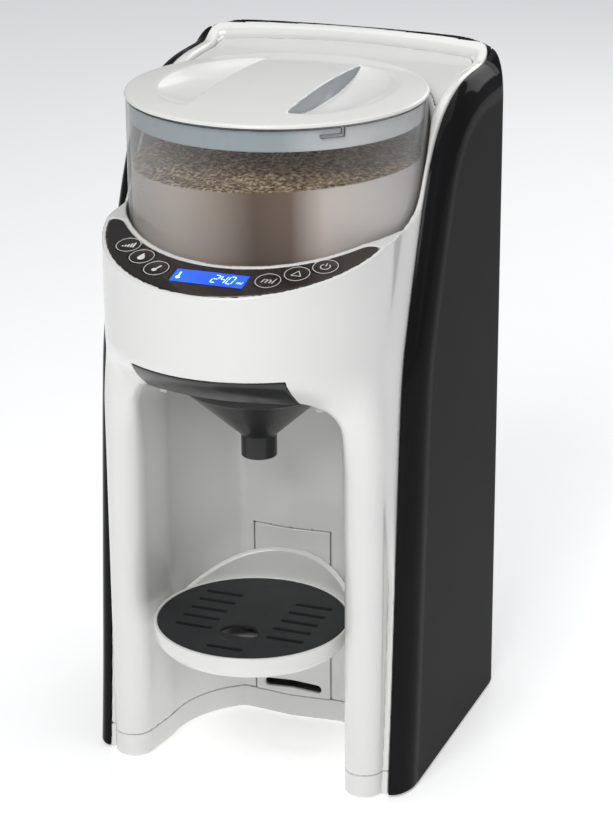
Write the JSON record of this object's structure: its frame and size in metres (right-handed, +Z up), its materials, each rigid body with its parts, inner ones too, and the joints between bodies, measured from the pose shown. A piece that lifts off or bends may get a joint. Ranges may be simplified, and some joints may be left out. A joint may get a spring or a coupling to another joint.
{
  "type": "formula dispenser",
  "caption": "Counter-top formula dispenser with a clear powder drum, angled control panel, mixing funnel, bottle niche with drip tray, and a rear water tank.",
  "frame": {"origin": "middle of the footprint, on the floor under the rubber feet", "axes": "+Z up, -Y towards the user, +X to the right of the user"},
  "size_m": [0.197, 0.2402, 0.402],
  "materials": {
    "white_gloss": "high gloss moulded",
    "white_satin": "satin moulded",
    "black_cover": "satin sides with a gloss border",
    "black_matte": "matt textured",
    "clear_drum": "clear moulded copolyester",
    "seal_blue": "translucent silicone",
    "smoked_clear": "smoked translucent",
    "panel_gloss": "piano gloss, brown black",
    "display_blue": "backlit",
    "powder_cream": "fine dry powder",
    "steel": "brushed",
    "circuit_board": "solder mask",
    "rubber_black": "moulded rubber",
    "grey_plastic": "satin moulded",
    "clear_tube": "milky clear"
  },
  "bodies": {
    "housing": {"base": "white_gloss", "front_housing": "white_gloss", "right_side_cover": "black_cover", "left_side_cover": "black_cover", "rear_cover": "black_cover", "bay_seat": "grey_plastic", "powder_chute": "grey_plastic", "gear_motor": "steel", "motor_bracket": "grey_plastic", "right_funnel_rail": "white_satin", "left_funnel_rail": "white_satin", "mixing_nozzle": "clear_tube", "niche_back_panel": "white_gloss", "control_panel": "panel_gloss", "display_module": "display_blue", "control_board": "circuit_board", "main_board": "circuit_board", "tank_seat": "grey_plastic", "outlet_gasket": "rubber_black", "water_pump": "grey_plastic", "heater": "steel", "power_inlet": "black_matte", "inlet_tube": "clear_tube", "pump_tube": "clear_tube", "hot_water_tube": "clear_tube", "foot_1": "rubber_black", "foot_2": "rubber_black", "foot_3": "rubber_black", "foot_4": "rubber_black", "base_screw_1": "steel", "base_screw_2": "steel", "base_screw_3": "steel", "base_screw_4": "steel", "rear_screw_1": "steel", "rear_screw_2": "steel", "rear_screw_3": "steel", "rear_screw_4": "steel"},
    "drum": {"powder_drum": "clear_drum", "drum_base": "grey_plastic", "scraper": "rubber_black", "formula_powder": "powder_cream"},
    "dosing": {"powder_wheel": "grey_plastic", "stirrer": "grey_plastic"},
    "lid_ring": {"lid_seal": "seal_blue"},
    "lid": {"lid_cap": "white_gloss"},
    "drive": {"drive_coupling": "steel"},
    "funnel": {"funnel": "smoked_clear"},
    "cover": {"funnel_cover": "smoked_clear"},
    "stand": {"stand_bracket": "white_gloss", "drip_tray": "white_gloss"},
    "grille": {"drip_grille": "black_matte"},
    "tank": {"water_tank": "clear_tube", "tank_valve": "grey_plastic"},
    "tank_lid": {"tank_lid": "white_satin"},
    "signal_key": {"signal_key": "panel_gloss"},
    "water_key": {"water_key": "panel_gloss"},
    "temperature_key": {"temperature_key": "panel_gloss"},
    "volume_key": {"volume_key": "panel_gloss"},
    "start_key": {"start_key": "panel_gloss"},
    "power_key": {"power_key": "panel_gloss"}
  },
  "joints": [
    {"name": "drum_lift", "type": "slide", "parent": "housing", "child": "drum", "axis": [0, 0, 1], "range_m": [0, 0.12]},
    {"name": "lid_lift", "type": "slide", "parent": "drum", "child": "lid_ring", "axis": [0, 0, 1], "range_m": [0, 0.08]},
    {"name": "lid_twist", "type": "hinge", "parent": "lid_ring", "child": "lid", "pos_m": [0, -0.0019, 0.391], "axis": [0, 0, 1], "range_deg": [-9, 0]},
    {"name": "dosing_spin", "type": "hinge", "parent": "drum", "child": "dosing", "pos_m": [0, -0.0019, 0.29], "axis": [0, 0, 1], "continuous": true},
    {"name": "drive_spin", "type": "hinge", "parent": "housing", "child": "drive", "pos_m": [0, -0.0019, 0.28], "axis": [0, 0, 1], "continuous": true},
    {"name": "funnel_slide", "type": "slide", "parent": "housing", "child": "funnel", "axis": [0, -1, 0], "range_m": [0, 0.07]},
    {"name": "cover_pull", "type": "slide", "parent": "housing", "child": "cover", "axis": [0, -1, 0], "range_m": [0, 0.03]},
    {"name": "stand_pull", "type": "slide", "parent": "housing", "child": "stand", "axis": [0, -1, 0], "range_m": [0, 0.12]},
    {"name": "grille_lift", "type": "slide", "parent": "stand", "child": "grille", "axis": [0, 0, 1], "range_m": [0, 0.03]},
    {"name": "tank_lift", "type": "slide", "parent": "housing", "child": "tank", "axis": [0, 0, 1], "range_m": [0, 0.25]},
    {"name": "tank_lid_lift", "type": "slide", "parent": "tank", "child": "tank_lid", "axis": [0, 0, 1], "range_m": [0, 0.05]},
    {"name": "signal_press", "type": "slide", "parent": "housing", "child": "signal_key", "axis": [0, 0, -1], "range_m": [0, 0.0007], "stiffness_N_per_m": 400},
    {"name": "water_press", "type": "slide", "parent": "housing", "child": "water_key", "axis": [0, 0, -1], "range_m": [0, 0.0007], "stiffness_N_per_m": 400},
    {"name": "temperature_press", "type": "slide", "parent": "housing", "child": "temperature_key", "axis": [0, 0, -1], "range_m": [0, 0.0007], "stiffness_N_per_m": 400},
    {"name": "volume_press", "type": "slide", "parent": "housing", "child": "volume_key", "axis": [0, 0, -1], "range_m": [0, 0.0007], "stiffness_N_per_m": 400},
    {"name": "start_press", "type": "slide", "parent": "housing", "child": "start_key", "axis": [0, 0, -1], "range_m": [0, 0.0007], "stiffness_N_per_m": 400},
    {"name": "power_press", "type": "slide", "parent": "housing", "child": "power_key", "axis": [0, 0, -1], "range_m": [0, 0.0007], "stiffness_N_per_m": 400}
  ],
  "couplings": [
    {"joint": "drive_spin", "follows": "dosing_spin", "ratio": 1}
  ]
}
